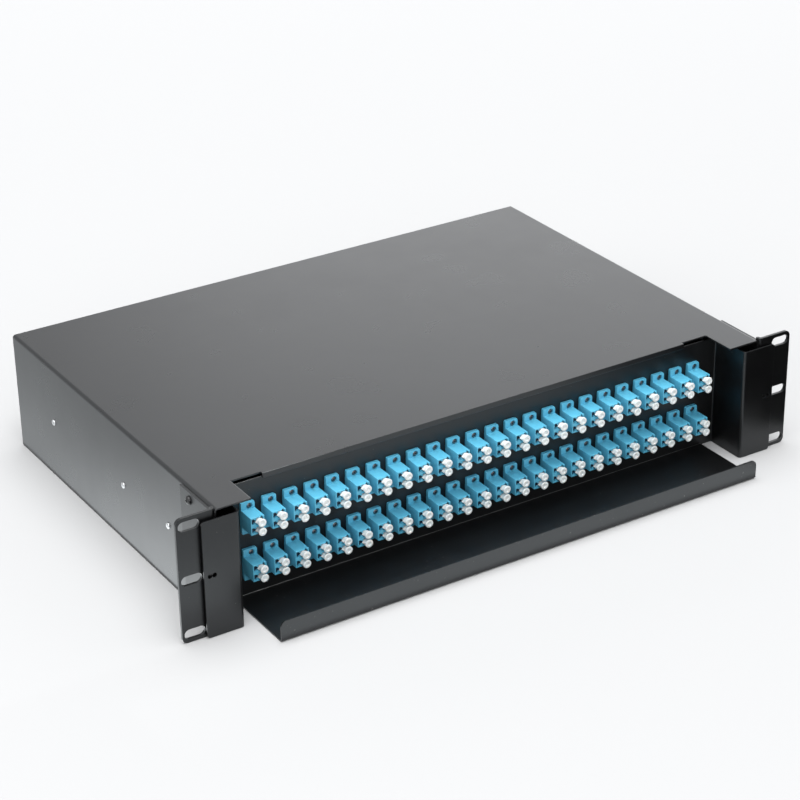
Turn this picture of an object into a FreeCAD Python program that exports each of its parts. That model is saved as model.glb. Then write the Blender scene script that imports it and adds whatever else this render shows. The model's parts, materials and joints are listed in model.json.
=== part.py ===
import FreeCAD, Part
import os
import re
import Sketcher

# Sliding fibre patch drawer, two rack units high, for a nineteen-inch rack.
# A folded steel housing with bolt-on rack ears carries a drawer on two telescopic slides.
# The drawer's front sheet holds two rows of duplex fibre adapters behind a cable tray,
# and its floor carries the splice trays, the fibre spools and the cable tie mounts.
#
# Frame: X to the right, Y to the back, Z up, in millimetres.
# Origin: on the front face of the rack ears, in the middle of their slot pattern.

Vector = FreeCAD.Vector
Rotation = FreeCAD.Rotation

DIMENSIONS = [
    # rack ears
    ("ear_span", 482.6, "over both ears, the nineteen-inch front"),
    ("ear_height", 88.1, "two rack units less the usual gap"),
    ("ear_sheet", 2.0, "thickness of the ears"),
    ("ear_leaf", 43.0, "depth of the leaf that lies on the housing's side"),
    ("leaf_trim", 2.4, "leaf lower than the ear's front face, at top and bottom"),
    ("leaf_relief", 1.0, "from the ear's bend to where the leaf is trimmed"),
    ("ear_corner", 4.0, "radius of the ears' free corners"),
    ("ear_bend", 1.0, "inside radius of the ears' bend"),
    ("ear_reach", 27.3, "how far each ear stands out from the housing"),
    ("slot_inset", 8.75, "from an ear's outer edge to the middle of its slots"),
    ("slot_edge", 5.95, "from an ear's top or bottom to its outer slot"),
    ("slot_length", 14.5, "end to end"),
    ("slot_width", 6.8, "for M6 cage-nut screws"),
    ("ear_screw_depth", 31.0, "from the ears' front face back to the leaf screws"),
    ("ear_screw_edge", 8.1, "from the ears' top and bottom to the leaf screws"),
    ("ear_screw_head", 6.0, "diameter of the leaf screws' heads"),
    ("ear_screw_rise", 2.0, "height of the leaf screws' heads"),
    ("ear_screw_shank", 3.0, "diameter of the leaf screws"),
    # housing
    ("sheet", 1.2, "steel sheet of housing and drawer"),
    ("bend_radius", 1.0, "inside radius of the visible bends"),
    ("body_height", 87.0, "outside height of the housing"),
    ("body_front", 1.0, "housing's front edge behind the ears' front face"),
    ("body_back", 300.0, "housing's rear edge"),
    ("floor_flange", 12.0, "inward flange along the foot of each side"),
    ("notch_inset", 10.4, "opening in the top narrower than the recess, each side"),
    ("notch_back", 25.0, "rear edge of that opening"),
    ("brim_inset", 21.5, "down-turned brim shorter than the opening, each side"),
    ("brim_drop", 3.8, "height of the brim"),
    ("relief", 2.5, "bend relief at the ends of the brim"),
    ("pan_gap", 1.1, "floor pan behind the cable tray's rear flange"),
    ("pan_flange", 15.0, "height of the floor pan's side flanges"),
    ("rear_corner_gap", 1.2, "rear wall clear of the housing's rounded corners"),
    # rear cable glands, M25
    ("gland_rise", 6.0, "gland axis above the middle of the housing"),
    ("gland_thread", 12.4, "radius of the gland's thread"),
    ("gland_play", 0.1, "between thread and nut or hole"),
    ("gland_hex", 17.0, "corner radius of the hexagons"),
    ("gland_bore", 9.0, "radius of the gland body's bore"),
    ("gland_flange", 6.0, "thickness of the body's hexagon"),
    ("gland_inner", 9.0, "thread inside the rear wall"),
    ("gland_outer", 9.0, "thread behind the hexagon"),
    ("gland_nut", 5.0, "thickness of the lock nut"),
    ("gland_cap", 15.5, "length of the cap nut"),
    ("gland_cap_end", 4.0, "thickness of the cap nut's end"),
    ("gland_cap_gap", 0.5, "cap nut clear of the body's hexagon"),
    ("seal_bore", 7.0, "radius of the rubber seal's bore"),
    ("seal_length", 9.5, "length of the rubber seal"),
    # telescopic slides
    ("slide_gap", 12.7, "space for a slide between housing and drawer"),
    ("rail_front", 35.0, "front end of the closed slides"),
    ("rail_end_gap", 15.0, "rear end of the slides to the housing's rear edge"),
    ("rail_height", 44.0, "outside height of the outer member"),
    ("rail_sheet", 1.2, "thickness of the slide members"),
    ("race_gap", 3.2, "ball race between two members"),
    ("web_gap", 1.4, "between the webs of outer and middle member"),
    ("outer_tip_gap", 3.7, "outer member's flanges short of the drawer's side"),
    ("outer_lip", 0.8, "turned edge of the outer member's flanges"),
    ("middle_tip_gap", 1.9, "middle member's flanges short of the inner member's web"),
    ("cage_sheet", 0.6, "thickness of the ball cages"),
    ("cage_inset", 0.4, "ball cages' flanges short of their race's edge"),
    ("cage_length", 110.0, "length of the ball cages"),
    ("rivet_first", 32.0, "from a slide's front end to its first rivet"),
    ("rivet_second", 96.0, "to its second rivet"),
    ("rivet_third", 204.0, "to its third rivet"),
    ("rivet_head", 5.0, "diameter of the rivet heads"),
    ("rivet_rise", 1.2, "height of the rivet heads"),
    ("rivet_shank", 3.0, "diameter of the rivets"),
    ("lever_front", 25.0, "from a slide's front end to its release lever"),
    ("lever_length", 48.0, "length of the release levers"),
    ("lever_height", 8.0, "height of the release levers"),
    ("lever_sheet", 2.2, "thickness of the release levers"),
    ("lever_pin", 1.5, "radius of the release levers' pivots"),
    ("lever_play", 0.25, "between pivot and lever"),
    ("lever_side_gap", 0.6, "beside the levers on their pivots"),
    # drawer sheets
    ("wing_width", 25.4, "front wing outside the drawer's side"),
    ("wing_gap", 1.8, "between wing and ear when closed"),
    ("panel_top_gap", 4.3, "front sheet below the top of the housing"),
    ("wing_lift", 0.3, "front sheet above the housing's underside"),
    ("wing_chamfer", 1.5, "cut corners of the wings"),
    ("lock_offset", 5.8, "lock-screw holes outside the housing's side"),
    ("lock_lobe", 3.4, "diameter of each lobe of the wing's hole"),
    ("lock_pitch", 3.2, "between the two lobes"),
    ("lock_hole", 3.0, "diameter of the hole in the ear behind"),
    ("panel_front", 28.5, "front face of the adapter panel"),
    ("drawer_clearance", 1.2, "drawer floor above the housing floor"),
    ("drawer_top_gap", 12.2, "drawer's sides below the housing's top sheet"),
    ("drawer_end_gap", 13.0, "rear edge of the drawer to the housing's rear edge"),
    ("drawer_flange", 10.0, "flanges behind the front sheet"),
    ("rear_lip", 16.0, "height of the drawer's rear lip"),
    ("rear_lip_inset", 48.9, "drawer's rear lip short of the drawer's sides"),
    # front cable tray
    ("tray_inset", 9.6, "cable tray short of the recess's sides"),
    ("tray_reach", 32.0, "cable tray in front of the ears"),
    ("tray_lip", 14.8, "height of the cable tray's lip"),
    ("tray_corner", 4.0, "radius of the lip's corners"),
    ("tray_upstand", 13.0, "height of the tray's rear flange"),
    # duplex adapters
    ("adapter_pitch", 15.45, "between adapters in a row"),
    ("panel_margin", 12.0, "least free strip beside a row of adapters"),
    ("row_spacing", 33.7, "between the two rows"),
    ("upper_row", 57.9, "upper row above the housing's underside"),
    ("adapter_width", 9.8, "width of an adapter"),
    ("adapter_height", 12.2, "height of an adapter's body"),
    ("adapter_nose", 12.2, "body in front of the flange"),
    ("adapter_tail", 14.5, "body behind the panel's front face"),
    ("flange_thickness", 2.3, "thickness of the adapter's flange"),
    ("flange_height", 22.4, "height of the adapter's flange"),
    ("cutout_play", 0.15, "panel opening around an adapter, each side"),
    ("port_pitch", 6.25, "between the two ports of an adapter"),
    ("port_width", 7.2, "width of a port with its latch keyway"),
    ("port_height", 4.0, "height of a port"),
    ("port_depth", 6.0, "depth of a port"),
    ("port_shift", 0.1, "port towards the keyway side"),
    ("cap_diameter", 6.2, "front dust cap"),
    ("cap_length", 4.0, "front dust cap outside the port"),
    ("cap_shift", 1.3, "cap and ferrule axis off the adapter's middle"),
    # inside the drawer
    ("lane_width", 42.0, "cable lane between splice trays and drawer side"),
    ("splice_depth", 100.0, "splice tray, front to back"),
    ("splice_height", 9.0, "splice tray"),
    ("splice_wall", 1.6, "wall and floor of a splice tray"),
    ("splice_gap", 14.0, "between the two stacks"),
    ("splice_end_gap", 15.0, "stacks in front of the drawer's rear edge"),
    ("lid_thickness", 1.5, "clear lid on each stack"),
    ("comb_width", 46.0, "splice holder, left to right"),
    ("comb_depth", 30.0, "splice holder, front to back"),
    ("comb_height", 5.0, "splice holder"),
    ("comb_pitch", 9.0, "between the holder's grooves"),
    ("comb_groove", 5.0, "width of a groove"),
    ("comb_setback", 12.0, "holder behind the tray's front wall"),
    ("stud_radius", 2.0, "hold-down stud"),
    ("stud_setback", 7.0, "stud in front of the stack"),
    ("stud_stand", 0.5, "hold-down stud above the wing nut"),
    ("clamp_width", 16.0, "hold-down plate"),
    ("clamp_length", 22.0, "hold-down plate"),
    ("clamp_sheet", 1.5, "hold-down plate"),
    ("nut_radius", 4.0, "wing nut's hub"),
    ("nut_height", 4.5, "wing nut's hub"),
    ("nut_wing", 9.0, "wing beyond the hub"),
    ("nut_wing_height", 8.0, "height of the wings"),
    ("nut_wing_sheet", 2.0, "thickness of the wings"),
    ("thread_play", 0.1, "between stud and nut or plate"),
    ("spool_radius", 30.0, "fibre spool, the smallest bend of a fibre"),
    ("spool_wall", 2.0, "wall of a fibre spool"),
    ("spool_height", 24.0, "height of a fibre spool"),
    ("spool_inset", 68.9, "spool axis inside the drawer's side"),
    ("spool_depth", 112.0, "spool axis behind the ears' front face"),
    ("spool_tab", 10.0, "finger that keeps the fibres on the spool"),
    ("spool_tab_width", 14.0, "width of a finger"),
    ("mount_width", 24.0, "cable tie mount"),
    ("mount_depth", 12.0, "cable tie mount"),
    ("mount_height", 8.0, "cable tie mount"),
    ("mount_tunnel", 3.0, "tie's tunnel through the mount"),
    ("mount_foot", 5.0, "mount beside the tunnel"),
    ("mount_setback", 28.0, "front tie mounts behind the stacks' front edge"),
    ("mount_pitch", 60.0, "between front and rear tie mounts"),
    # facets of the many small round pieces
    ("fine_sides", 8, "flats of a screw, a rivet or a dust cap"),
    ("gland_sides", 10, "flats of a cable gland's round parts"),
    ("spool_sides", 16, "flats of a fibre spool's ring"),
]

# Places that follow from the dimensions, written once and used in many features.
PLACES = {
    "base": "-ear_height/2",
    "top": "base + body_height",
    "half_width": "ear_span/2 - ear_reach",
    "side_inside": "half_width - sheet",
    "slot_centre": "ear_span/2 - slot_inset",
    "slot_spacing": "ear_height - 2*slot_edge",
    "lock_centre": "half_width + lock_offset",
    "drawer_half": "side_inside - slide_gap",
    "recess_half": "drawer_half - sheet",
    "notch_half": "recess_half - notch_inset",
    "brim_half": "notch_half - brim_inset",
    "tray_half": "recess_half - tray_inset",
    "wing_half": "drawer_half + wing_width",
    "wing_back": "-wing_gap",
    "wing_front": "-wing_gap - sheet",
    "wing_foot": "base + wing_lift",
    "wing_top": "top - panel_top_gap",
    "panel_back": "panel_front + sheet",
    "flange_back": "panel_back + sheet",
    "upstand_top": "base + tray_upstand",
    "pan_front": "flange_back + pan_gap",
    "pan_top": "base + 2*sheet",
    "floor_under": "pan_top + drawer_clearance",
    "floor_top": "floor_under + sheet",
    "wall_top": "top - sheet - drawer_top_gap",
    "drawer_back": "body_back - drawer_end_gap",
    "rail_length": "body_back - rail_end_gap - rail_front",
    "outer_tip": "slide_gap - outer_tip_gap",
    "middle_web": "rail_sheet + web_gap",
    "middle_tip": "slide_gap - rail_sheet - middle_tip_gap",
    "inner_tip": "2*middle_web",
    "middle_height": "rail_height/2 - rail_sheet - race_gap",
    "inner_height": "middle_height - rail_sheet - race_gap",
    "cage_play": "(web_gap - cage_sheet)/2",
    "lever_start": "rail_front + lever_front",
    "lever_pivot": "lever_start + lever_height",
    "adapter_count": "floor((2*recess_half - 2*panel_margin)/adapter_pitch)",
    "upper_centre": "base + upper_row",
    "lower_centre": "upper_centre - row_spacing",
    "flange_front": "panel_front - flange_thickness",
    "nose_front": "flange_front - adapter_nose",
    "adapter_back": "panel_front + adapter_tail",
    "splice_width": "recess_half - lane_width - splice_gap/2",
    "splice_front": "drawer_back - splice_end_gap - splice_depth",
    "stack_centre": "(splice_width + splice_gap)/2",
    "lane_centre": "recess_half - lane_width/2",
    "lid_under": "floor_top + 2*splice_height",
    "lid_top": "lid_under + lid_thickness",
    "clamp_top": "lid_top + clamp_sheet",
    "stud_place": "splice_front - stud_setback",
    "spool_centre": "recess_half - spool_inset",
    "cap_start": "body_back + gland_flange + gland_cap_gap",
}
FUNCTIONS = {"floor"}

SIDES = (("left", -1), ("right", 1))

doc = FreeCAD.newDocument("fibre_patch_drawer")
sheet = doc.addObject("Spreadsheet::Sheet", "Dims")
for row, (alias, number, meaning) in enumerate(DIMENSIONS, start=1):
    sheet.set("A%d" % row, meaning)
    sheet.set("B%d" % row, str(number))
    sheet.setAlias("B%d" % row, alias)
doc.recompute()

ALIASES = {alias for alias, number, meaning in DIMENSIONS}
nodes = {}


def formula(text):
    """Turn the names of places and dimensions in a text into references to the sheet."""
    def reference(match):
        word = match.group(0)
        if word in FUNCTIONS:
            return word
        if word in PLACES:
            return "(" + formula(PLACES[word]) + ")"
        if word in ALIASES:
            return "Dims." + word
        raise ValueError("unknown name " + word)
    return re.sub(r"[a-z][a-z_]*", reference, text)


def size(name):
    """A dimension's number, for the code that counts or repeats."""
    return float(sheet.get(name))


def bind(item, prop, text):
    item.setExpression(prop, formula(text))


def keep(label, item):
    """Name the object that becomes a node of the part."""
    item.Label = label
    nodes[label] = item
    return item


def place(item, spot):
    for axis, text in zip("xyz", spot):
        bind(item, "Placement.Base." + axis, text)


def box(name, low, extent):
    """A block from its lowest corner and its extent along X, Y and Z."""
    item = doc.addObject("Part::Box", name)
    for prop, text in zip(("Length", "Width", "Height"), extent):
        bind(item, prop, text)
    place(item, low)
    return item


TURNS = {
    "x": Rotation(Vector(0, 1, 0), 90),
    "y": Rotation(Vector(1, 0, 0), -90),
    "z": Rotation(),
}


def bar(name, axis, spot, radius, length, sides="fine_sides"):
    """A many-sided bar along an axis, from the middle of its first end."""
    item = doc.addObject("Part::Prism", name)
    item.Placement = FreeCAD.Placement(Vector(), TURNS[axis])
    bind(item, "Polygon", sides)
    bind(item, "Circumradius", radius)
    bind(item, "Height", length)
    place(item, spot)
    return item


def cylinder(name, axis, spot, radius, length):
    item = doc.addObject("Part::Cylinder", name)
    item.Placement = FreeCAD.Placement(Vector(), TURNS[axis])
    bind(item, "Radius", radius)
    bind(item, "Height", length)
    place(item, spot)
    return item


def fuse(name, items):
    item = doc.addObject("Part::MultiFuse", name)
    item.Shapes = items
    item.Refine = True
    return item


def cut(name, base, tools):
    item = doc.addObject("Part::Cut", name)
    item.Base = base
    item.Tool = tools[0] if len(tools) == 1 else fuse(name + "_tools", tools)
    item.Refine = True
    return item


def group(name, items):
    """Separate solids that share one node."""
    item = doc.addObject("Part::Compound", name)
    item.Links = items
    return item


def origin_plane(body, role):
    for feature in body.Origin.OriginFeatures:
        if feature.Role == role:
            return feature


def attach(sketch, body, role, offset):
    """Lay a sketch on one of the body's own planes, moved along the plane's normal."""
    sketch.AttachmentSupport = [(origin_plane(body, role), "")]
    sketch.MapMode = "FlatFace"
    bind(sketch, "AttachmentOffset.Base.z", offset)


def pin_point(sketch, item, point, across, up):
    """Hold one point of a sketch at its distances from the origin."""
    spot = sketch.getPoint(item, point)
    for kind, text, value in (("DistanceX", across, spot.x), ("DistanceY", up, spot.y)):
        number = sketch.addConstraint(Sketcher.Constraint(kind, -1, 1, item, point, value))
        bind(sketch, "Constraints[%d]" % number, text)


def outline(body, name, role, offset, corners):
    """A closed outline of straight edges through corners that are held by the sheet."""
    sketch = body.newObject("Sketcher::SketchObject", name)
    attach(sketch, body, role, offset)
    count = len(corners)
    start = Part.Circle(Vector(), Vector(0, 0, 1), 100)
    spots = [start.value(6.2 * number / count) for number in range(count)]
    edges = [Part.LineSegment(spots[number], spots[(number + 1) % count]) for number in range(count)]
    sketch.addGeometry(edges, False)
    for number in range(count):
        sketch.addConstraint(Sketcher.Constraint("Coincident", number, 2, (number + 1) % count, 1))
    for number, (across, up) in enumerate(corners):
        pin_point(sketch, number, 1, across, up)
    return sketch


def mirrored(corners):
    """A half outline and its mirror image about the vertical axis, as one closed outline."""
    return corners + [("-(" + across + ")", up) for across, up in reversed(corners)]


def rectangle(left, low, right, high):
    return [(left, low), (right, low), (right, high), (left, high)]


def pad(body, name, profile, length, reverse=False):
    feature = body.newObject("PartDesign::Pad", name)
    feature.Profile = profile
    feature.Reversed = reverse
    bind(feature, "Length", length)
    return feature


def pocket(body, name, profile, length, reverse=False):
    """A pocket that must take material away."""
    doc.recompute()
    before = body.Shape.Volume
    feature = body.newObject("PartDesign::Pocket", name)
    feature.Profile = profile
    feature.Reversed = reverse
    bind(feature, "Length", length)
    doc.recompute()
    if not feature.Shape.Volume < before - 1e-6:
        raise RuntimeError(name + " cuts nothing")
    return feature


def corner_edges(shape, profile, numbers):
    """Names of a padded shape's edges that run through the given corners of its outline."""
    along = profile.Placement.Rotation.multVec(Vector(0, 0, 1))
    corners = [profile.Placement.multVec(profile.Geometry[number].StartPoint) for number in numbers]
    names = []
    for number, edge in enumerate(shape.Edges, start=1):
        if edge.Curve.TypeId != "Part::GeomLine":
            continue
        run = edge.Curve.Direction
        if run.cross(along).Length > 1e-6:
            continue
        middle = edge.valueAt((edge.FirstParameter + edge.LastParameter) / 2)
        if any((middle - corner).cross(along).Length < 1e-4 for corner in corners):
            names.append("Edge%d" % number)
    return names


def bend(body, name, profile, numbers, radius):
    """Round the edges that a sheet's bends leave sharp."""
    doc.recompute()
    feature = body.newObject("PartDesign::Fillet", name)
    base = body.Tip
    for candidate in body.Group:
        if candidate.isDerivedFrom("PartDesign::Feature") and candidate is not feature:
            base = candidate
    feature.Base = (base, corner_edges(base.Shape, profile, numbers))
    bind(feature, "Radius", radius)
    doc.recompute()
    return feature


def new_body(name):
    return doc.addObject("PartDesign::Body", name)


def signed(sign, text):
    return text if sign > 0 else "-(" + text + ")"


def span(sign, inner, outer):
    """The low end and the length of a stretch between two distances from the middle plane."""
    return (inner if sign > 0 else "-(" + outer + ")"), "(" + outer + ") - (" + inner + ")"


def housing_wrap():
    """Top and both sides, folded from one sheet, with a notch over the adapter recess."""
    body = new_body("wrap_sheet")
    section = outline(body, "wrap_section", "XZ_Plane", "-body_front", mirrored([
        ("half_width - floor_flange", "base"),
        ("half_width", "base"),
        ("half_width", "top"),
    ]) + [
        ("-(half_width - floor_flange)", "base + sheet"),
        ("-(side_inside)", "base + sheet"),
        ("-(side_inside)", "top - sheet"),
        ("side_inside", "top - sheet"),
        ("side_inside", "base + sheet"),
        ("half_width - floor_flange", "base + sheet"),
    ])
    pad(body, "wrap", section, "body_back - body_front", reverse=True)
    opening = outline(body, "notch_outline", "XY_Plane", "top + 1", mirrored([
        ("notch_half", "body_front - 1"),
        ("notch_half", "notch_back + relief"),
        ("brim_half", "notch_back + relief"),
        ("brim_half", "notch_back"),
    ]))
    pocket(body, "notch", opening, "sheet + 2")
    brim = outline(body, "brim_outline", "XZ_Plane", "-notch_back",
                   rectangle("-(brim_half)", "top - brim_drop", "brim_half", "top"))
    pad(body, "brim", brim, "sheet", reverse=True)
    bend(body, "outer_bends", section, (2, 3), "bend_radius + sheet")
    bend(body, "inner_bends", section, (8, 9), "bend_radius")
    tools = [ear_screw_hole(side, sign, level) for side, sign in SIDES for level in ("upper", "lower")]
    tools += [rivet_bar("wrap_rivet_hole", side, sign, spot) for side, sign in SIDES for spot in RIVETS]
    return keep("housing_wrap", cut("housing_wrap", body, tools))


RIVETS = ("rivet_first", "rivet_second", "rivet_third")
EAR_SCREW_LEVELS = {"upper": "-base - ear_screw_edge", "lower": "base + ear_screw_edge"}


def ear_screw_hole(side, sign, level):
    """The clearance bar of a leaf screw, through the ear and the housing's side."""
    low, length = span(sign, "side_inside - 1", "half_width + ear_sheet + 1")
    name = "ear_screw_hole_%s_%s" % (side, level)
    spot = (low, "ear_screw_depth", EAR_SCREW_LEVELS[level])
    return bar(name, "x", spot, "ear_screw_shank/2 + thread_play", length)


def rivet_bar(name, side, sign, spot):
    """The shank of a slide's rivet, through the housing's side and the outer member."""
    low, length = span(sign, "side_inside - rail_sheet", "half_width")
    return bar("%s_%s_%s" % (name, side, spot), "x", (low, "rail_front + " + spot, "0"),
               "rivet_shank/2", length)


def base_pan():
    """Floor pan with side flanges and the rear wall, which carries the cable glands."""
    body = new_body("pan_sheet")
    section = outline(body, "pan_section", "XZ_Plane", "-pan_front", mirrored([
        ("side_inside", "base + sheet"),
        ("side_inside", "base + sheet + pan_flange"),
        ("side_inside - sheet", "base + sheet + pan_flange"),
        ("side_inside - sheet", "pan_top"),
    ]))
    pad(body, "pan", section, "body_back - pan_front", reverse=True)
    wall = outline(body, "rear_wall_outline", "XZ_Plane", "-body_back",
                   rectangle("-(side_inside - rear_corner_gap)", "base + sheet",
                             "side_inside - rear_corner_gap", "top - sheet"))
    pad(body, "rear_wall", wall, "sheet")
    tools = [gland_bar("gland_hole", side, sign, "body_back - sheet - 1", "gland_thread + gland_play",
                       "sheet + 2") for side, sign in SIDES]
    return keep("base_pan", cut("base_pan", body, tools))


def rack_ear(side, sign):
    """An angle that bolts to the housing's side, with three slots for rack screws."""
    body = new_body("ear_sheet_" + side)
    section = outline(body, "ear_section_" + side, "XY_Plane", "base", [
        (signed(sign, "half_width"), "0"),
        (signed(sign, "ear_span/2"), "0"),
        (signed(sign, "ear_span/2"), "ear_sheet"),
        (signed(sign, "half_width + ear_sheet"), "ear_sheet"),
        (signed(sign, "half_width + ear_sheet"), "ear_leaf"),
        (signed(sign, "half_width"), "ear_leaf"),
    ])
    pad(body, "ear_angle_" + side, section, "ear_height")
    bend(body, "ear_outer_bend_" + side, section, (0,), "ear_bend + ear_sheet")
    bend(body, "ear_inner_bend_" + side, section, (3,), "ear_bend")
    face = outline(body, "ear_face_" + side, "XZ_Plane", "1",
                   rectangle(signed(sign, "ear_span/2 - 1"), "base", signed(sign, "ear_span/2"), "-base"))
    doc.recompute()
    bend(body, "ear_corners_" + side, face, (1, 2), "ear_corner")
    slots = body.newObject("Sketcher::SketchObject", "ear_slot_outline_" + side)
    attach(slots, body, "XZ_Plane", "1")
    slot(slots, sign, "-(slot_spacing)/2")
    first = pocket(body, "ear_slot_" + side, slots, "ear_sheet + 2")
    row = body.newObject("PartDesign::LinearPattern", "ear_slots_" + side)
    row.Originals = [first]
    row.Direction = (origin_plane(body, "Z_Axis"), [""])
    row.Occurrences = 3
    bind(row, "Length", "slot_spacing")
    body.Tip = row
    tools = [ear_screw_hole(side + "_leaf", sign, level) for level in ("upper", "lower")]
    low, length = span(sign, "half_width - 1", "half_width + ear_sheet + 1")
    trim_front = "ear_sheet + ear_bend + leaf_relief"
    for level, height in (("top", "-base - leaf_trim"), ("bottom", "base - 1")):
        tools.append(box("leaf_trim_%s_%s" % (level, side), (low, trim_front, height),
                         (length, "ear_leaf", "leaf_trim + 1")))
    tools.append(bar("lock_hole_" + side, "y", (signed(sign, "lock_centre"), "-1", "0"),
                     "lock_hole/2", "ear_sheet + 2"))
    return keep("rack_ear_" + side, cut("rack_ear_" + side, body, tools))


def slot(sketch, sign, up):
    """A round-ended slot, held by the centres of its ends and its width."""
    half = size("slot_width") / 2
    run = size("slot_length") / 2 - half
    middle = Vector(sign * (size("ear_span") / 2 - size("slot_inset")), -size("ear_height") / 2, 0)
    low_left = middle + Vector(-run, -half, 0)
    low_right = middle + Vector(run, -half, 0)
    high_right = middle + Vector(run, half, 0)
    high_left = middle + Vector(-run, half, 0)
    sketch.addGeometry([
        Part.LineSegment(low_left, low_right),
        Part.LineSegment(high_right, high_left),
        Part.Arc(low_right, middle + Vector(run + half, 0, 0), high_right),
        Part.Arc(high_left, middle + Vector(-run - half, 0, 0), low_left),
    ], False)
    for one, point, other, spot in ((0, 2, 2, 1), (2, 2, 1, 1), (1, 2, 3, 1), (3, 2, 0, 1)):
        sketch.addConstraint(Sketcher.Constraint("Tangent", one, point, other, spot))
    sketch.addConstraint(Sketcher.Constraint("Equal", 2, 3))
    across = signed(sign, "slot_centre")
    pin_point(sketch, 2, 3, across + " + slot_length/2 - slot_width/2", up)
    number = sketch.addConstraint(Sketcher.Constraint("DistanceX", 3, 3, 2, 3, 2 * run))
    bind(sketch, "Constraints[%d]" % number, "slot_length - slot_width")
    number = sketch.addConstraint(Sketcher.Constraint("Radius", 2, half))
    bind(sketch, "Constraints[%d]" % number, "slot_width/2")
    sketch.addConstraint(Sketcher.Constraint("Horizontal", 0))


def ear_screws():
    """Screws that hold the ears' leaves to the housing's sides."""
    screws = []
    for side, sign in SIDES:
        for level, height in EAR_SCREW_LEVELS.items():
            name = "ear_screw_%s_%s" % (side, level)
            low, length = span(sign, "half_width + ear_sheet", "half_width + ear_sheet + ear_screw_rise")
            head = bar(name + "_head", "x", (low, "ear_screw_depth", height), "ear_screw_head/2", length)
            low, length = span(sign, "side_inside", "half_width + ear_sheet")
            shank = bar(name + "_shank", "x", (low, "ear_screw_depth", height),
                        "ear_screw_shank/2", length)
            screws.append(fuse(name, [head, shank]))
    return keep("ear_screws", group("ear_screws", screws))


def gland_bar(name, side, sign, start, radius, length, sides="gland_sides"):
    return bar("%s_%s" % (name, side), "y", (signed(sign, "lane_centre"), start, "gland_rise"),
               radius, length, sides)


def cable_glands():
    """A cable gland at each rear entry: body, lock nut, rubber seal and cap nut."""
    bodies, nuts, seals, caps = [], [], [], []
    for side, sign in SIDES:
        thread = gland_bar("gland_thread", side, sign, "body_back - sheet - gland_inner", "gland_thread",
                           "gland_inner + sheet + gland_flange + gland_outer")
        collar = gland_bar("gland_collar", side, sign, "body_back", "gland_hex", "gland_flange", "6")
        bore = gland_bar("gland_bore", side, sign, "body_back - sheet - gland_inner - 1", "gland_bore",
                         "gland_inner + sheet + gland_flange + gland_outer + 2")
        bodies.append(cut("gland_body_" + side, fuse("gland_blank_" + side, [thread, collar]), [bore]))
        ring = gland_bar("lock_nut_blank", side, sign, "body_back - sheet - gland_nut", "gland_hex",
                         "gland_nut", "6")
        hole = gland_bar("lock_nut_hole", side, sign, "body_back - sheet - gland_nut - 1",
                         "gland_thread + gland_play", "gland_nut + 2")
        nuts.append(cut("lock_nut_" + side, ring, [hole]))
        plug = gland_bar("seal_blank", side, sign, "cap_start + gland_cap - gland_cap_end - seal_length",
                         "gland_bore - gland_play", "seal_length")
        spot = (signed(sign, "lane_centre"),
                "cap_start + gland_cap - gland_cap_end - seal_length - 1", "gland_rise")
        seals.append(cut("seal_" + side, plug, [cylinder("seal_hole_" + side, "y", spot, "seal_bore",
                                                         "seal_length + 2")]))
        shell = gland_bar("cap_nut_blank", side, sign, "cap_start", "gland_hex", "gland_cap", "6")
        hollow = gland_bar("cap_nut_hollow", side, sign, "cap_start - 1", "gland_thread + gland_play",
                           "gland_cap - gland_cap_end + 1")
        mouth = gland_bar("cap_nut_mouth", side, sign, "cap_start", "gland_bore - gland_play",
                          "gland_cap + 1")
        caps.append(cut("cap_nut_" + side, shell, [hollow, mouth]))
    keep("gland_bodies", group("gland_bodies", bodies))
    keep("gland_lock_nuts", group("gland_lock_nuts", nuts))
    keep("gland_seals", group("gland_seals", seals))
    keep("gland_cap_nuts", group("gland_cap_nuts", caps))


def channel(name, side, sign, corners, start, length):
    """A slide member of constant section, given by distances from the housing's side."""
    body = new_body(name + "_" + side)
    places = [(signed(sign, "side_inside - (%s)" % away), up) for away, up in corners]
    section = outline(body, name + "_section_" + side, "XZ_Plane", "-(" + start + ")", places)
    pad(body, name + "_length_" + side, section, length, reverse=True)
    return body


def c_section(web, tip, height, thickness, lip=None):
    """Corners of a channel: its web's near face, its flanges' tips and half its height."""
    inner = "%s - %s" % (height, thickness)
    half = [(web, "-(%s)" % height), (tip, "-(%s)" % height)]
    if lip:
        half.append((tip, "-(%s - %s)" % (inner, lip)))
        half.append(("%s - %s" % (tip, thickness), "-(%s - %s)" % (inner, lip)))
        half.append(("%s - %s" % (tip, thickness), "-(%s)" % inner))
    else:
        half.append((tip, "-(%s)" % inner))
    half.append(("%s + %s" % (web, thickness), "-(%s)" % inner))
    return half + [(away, "-(" + up + ")") for away, up in reversed(half)]


def inner_section():
    """Corners of the inner member, whose web lies on the drawer and whose flanges point back."""
    half = [
        ("slide_gap", "-(inner_height)"),
        ("inner_tip", "-(inner_height)"),
        ("inner_tip", "-(inner_height - rail_sheet)"),
        ("slide_gap - rail_sheet", "-(inner_height - rail_sheet)"),
    ]
    return half + [(away, "-(" + up + ")") for away, up in reversed(half)]


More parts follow.
